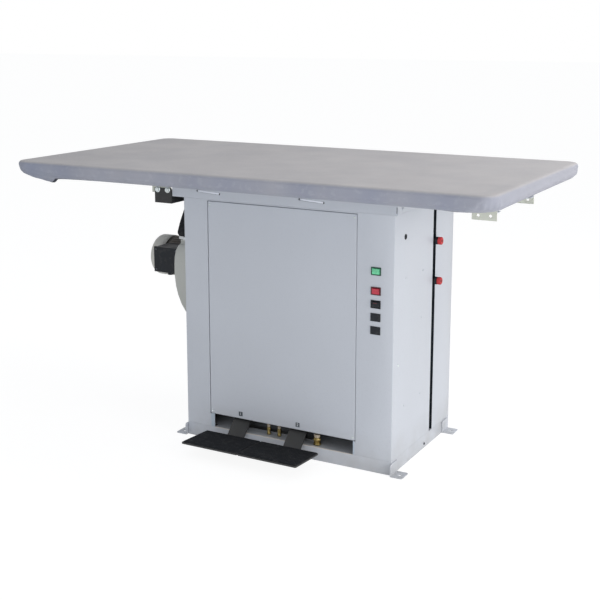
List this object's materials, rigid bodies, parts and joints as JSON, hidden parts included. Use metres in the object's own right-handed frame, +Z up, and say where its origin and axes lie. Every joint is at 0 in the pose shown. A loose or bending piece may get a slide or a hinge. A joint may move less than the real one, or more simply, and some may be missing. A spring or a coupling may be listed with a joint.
{
  "type": "vacuum ironing table",
  "caption": "Free-standing vacuum ironing table with a padded rectangular top, a sheet-metal cabinet, foot pedals and a side-mounted suction fan.",
  "frame": {"origin": "on the floor under the middle of the table top", "axes": "+X runs along the table towards the switches and valves, +Y from the pedals to the back, +Z up"},
  "size_m": [1.64, 0.86, 0.925],
  "materials": {
    "cabinet_grey": "satin light grey powder coat",
    "cream_paint": "satin cream paint",
    "cover_cloth": "grey woven polyester cover cloth",
    "pad_foam": "open foam and felt padding",
    "zinc_steel": "zinc-plated sheet",
    "black_paint": "satin black paint",
    "black_rubber": "matt black",
    "black_plastic": "matt black",
    "green_lens": "translucent green",
    "red_lens": "translucent red",
    "red_plastic": "satin red",
    "brass": "machined",
    "aluminium": "cast and machined",
    "fan_grey": "satin grey paint",
    "motor_grey": "dark grey paint on a cast housing"
  },
  "bodies": {
    "table": {"base_frame": "cabinet_grey", "base_pan": "cabinet_grey", "foot_front_left": "cabinet_grey", "foot_rear_left": "cabinet_grey", "foot_front_right": "cabinet_grey", "foot_rear_right": "cabinet_grey", "cabinet_shell": "cabinet_grey", "front_panel": "cabinet_grey", "panel_frame": "cabinet_grey", "rear_housing": "cabinet_grey", "rear_panel": "cabinet_grey", "slot_strip_left": "black_plastic", "slot_strip_right": "black_plastic", "valve_upper": "brass", "valve_lower": "brass", "switch_green": "black_plastic", "switch_red": "black_plastic", "switch_black": "black_plastic", "blank_upper": "black_plastic", "blank_lower": "black_plastic", "pedal_bracket": "zinc_steel", "pedal_shaft": "zinc_steel", "suction_duct": "zinc_steel", "collar_frame": "cabinet_grey", "rail_front": "cabinet_grey", "rail_rear": "cabinet_grey", "accessory_plate_front_left": "cream_paint", "accessory_plate_front_right": "cream_paint", "accessory_plate_rear_left": "cream_paint", "accessory_plate_rear_right": "cream_paint", "accessory_socket": "black_paint", "table_cover": "cover_cloth", "foam_pad": "pad_foam", "perforated_plate": "zinc_steel", "table_tray": "cabinet_grey", "hopper": "zinc_steel", "blower_scroll": "fan_grey", "motor_body": "motor_grey", "motor_cowl": "motor_grey", "terminal_box": "black_plastic", "blower_boot": "black_rubber", "boot_clamp": "zinc_steel", "union_left": "brass", "union_middle": "brass", "union_right": "brass"},
    "pedal_left": {"pedal_lever_left": "black_paint", "pedal_mat_left": "black_rubber"},
    "pedal_right": {"pedal_lever_right": "black_paint", "pedal_mat_right": "black_rubber"},
    "rod_left": {"push_rod_left": "zinc_steel"},
    "rod_right": {"push_rod_right": "zinc_steel"},
    "damper_suction": {"suction_damper": "zinc_steel"},
    "damper_blow": {"blow_damper": "zinc_steel"},
    "rocker_green": {"rocker_green": "green_lens"},
    "rocker_red": {"rocker_red": "red_lens"},
    "rocker_black": {"rocker_black": "black_plastic"},
    "knob_upper": {"valve_knob_upper": "red_plastic"},
    "knob_lower": {"valve_knob_lower": "red_plastic"},
    "rotor": {"impeller": "aluminium", "motor_shaft": "aluminium"}
  },
  "joints": [
    {"name": "pedal_left_press", "type": "hinge", "parent": "table", "child": "pedal_left", "pos_m": [-0.1, -0.138, 0.0795], "axis": [1, 0, 0], "range_deg": [0, 7.1], "stiffness_Nm_per_rad": 7, "springref_deg": -20.05},
    {"name": "pedal_right_press", "type": "hinge", "parent": "table", "child": "pedal_right", "pos_m": [0.11, -0.138, 0.0795], "axis": [1, 0, 0], "range_deg": [0, 7.1], "stiffness_Nm_per_rad": 7, "springref_deg": -20.05},
    {"name": "rod_left_lift", "type": "slide", "parent": "table", "child": "rod_left", "axis": [0, 0, 1], "range_m": [0, 0.0232]},
    {"name": "rod_right_lift", "type": "slide", "parent": "table", "child": "rod_right", "axis": [0, 0, 1], "range_m": [0, 0.012]},
    {"name": "suction_damper_turn", "type": "hinge", "parent": "table", "child": "damper_suction", "pos_m": [-0.022, 0.03, 0.772], "axis": [1, 0, 0], "range_deg": [0, 74.5]},
    {"name": "blow_damper_turn", "type": "hinge", "parent": "table", "child": "damper_blow", "pos_m": [-0.345, -0.052, 0.8255], "axis": [1, 0, 0], "range_deg": [0, 74.5]},
    {"name": "rocker_green_press", "type": "hinge", "parent": "table", "child": "rocker_green", "pos_m": [0.3825, -0.1973, 0.6372], "axis": [-1, 0, 0], "range_deg": [0, 12]},
    {"name": "rocker_red_press", "type": "hinge", "parent": "table", "child": "rocker_red", "pos_m": [0.3825, -0.1973, 0.5763], "axis": [-1, 0, 0], "range_deg": [0, 12]},
    {"name": "rocker_black_press", "type": "hinge", "parent": "table", "child": "rocker_black", "pos_m": [0.3825, -0.1973, 0.5352], "axis": [-1, 0, 0], "range_deg": [0, 12]},
    {"name": "knob_upper_turn", "type": "hinge", "parent": "table", "child": "knob_upper", "pos_m": [0.4455, 0.119, 0.683], "axis": [1, 0, 0], "range_deg": [0, 270]},
    {"name": "knob_lower_turn", "type": "hinge", "parent": "table", "child": "knob_lower", "pos_m": [0.4455, 0.119, 0.552], "axis": [1, 0, 0], "range_deg": [0, 270]},
    {"name": "rotor_spin", "type": "hinge", "parent": "table", "child": "rotor", "pos_m": [-0.345, 0.035, 0.555], "axis": [1, 0, 0], "continuous": true}
  ],
  "couplings": [
    {"joint": "rod_left_lift", "follows": "pedal_left_press", "m_per_rad": 0.18456},
    {"joint": "suction_damper_turn", "follows": "pedal_left_press", "ratio": 10.422},
    {"joint": "rod_right_lift", "follows": "pedal_right_press", "m_per_rad": 0.09472},
    {"joint": "blow_damper_turn", "follows": "pedal_right_press", "ratio": 10.422}
  ]
}
